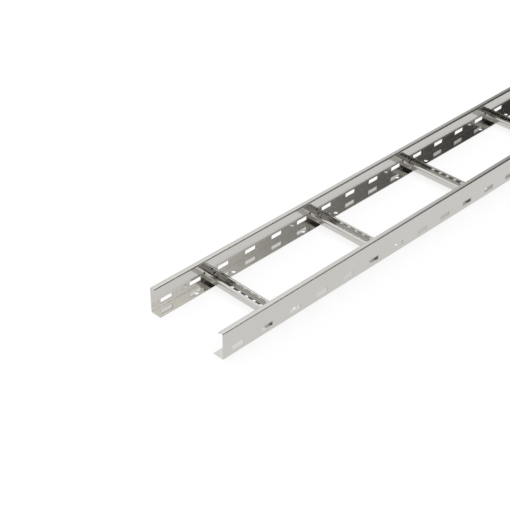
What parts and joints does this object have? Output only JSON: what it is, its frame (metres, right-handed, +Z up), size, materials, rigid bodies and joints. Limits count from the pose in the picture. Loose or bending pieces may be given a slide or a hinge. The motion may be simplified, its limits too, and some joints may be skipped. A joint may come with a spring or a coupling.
{
  "type": "cable ladder section",
  "caption": "Straight cable ladder section of bright sheet steel: folded side rails with slotted webs, joined by lipped channel rungs with their open side up.",
  "frame": {"origin": "middle of the section's length and width, on the floor plane that the bottom flanges lie on", "axes": "+X along the ladder, +Y across it towards the left rail, +Z up through the rungs' open side"},
  "size_m": [3, 0.2, 0.06],
  "materials": {
    "rail_steel": "bright cold-rolled stainless sheet, folded, bare",
    "rung_steel": "bright cold-rolled stainless sheet, folded, bare"
  },
  "bodies": {
    "root": {"side_rail_left": "rail_steel", "side_rail_right": "rail_steel", "rung_01": "rung_steel", "rung_02": "rung_steel", "rung_03": "rung_steel", "rung_04": "rung_steel", "rung_05": "rung_steel", "rung_06": "rung_steel", "rung_07": "rung_steel", "rung_08": "rung_steel", "rung_09": "rung_steel", "rung_10": "rung_steel"}
  },
  "joints": []
}
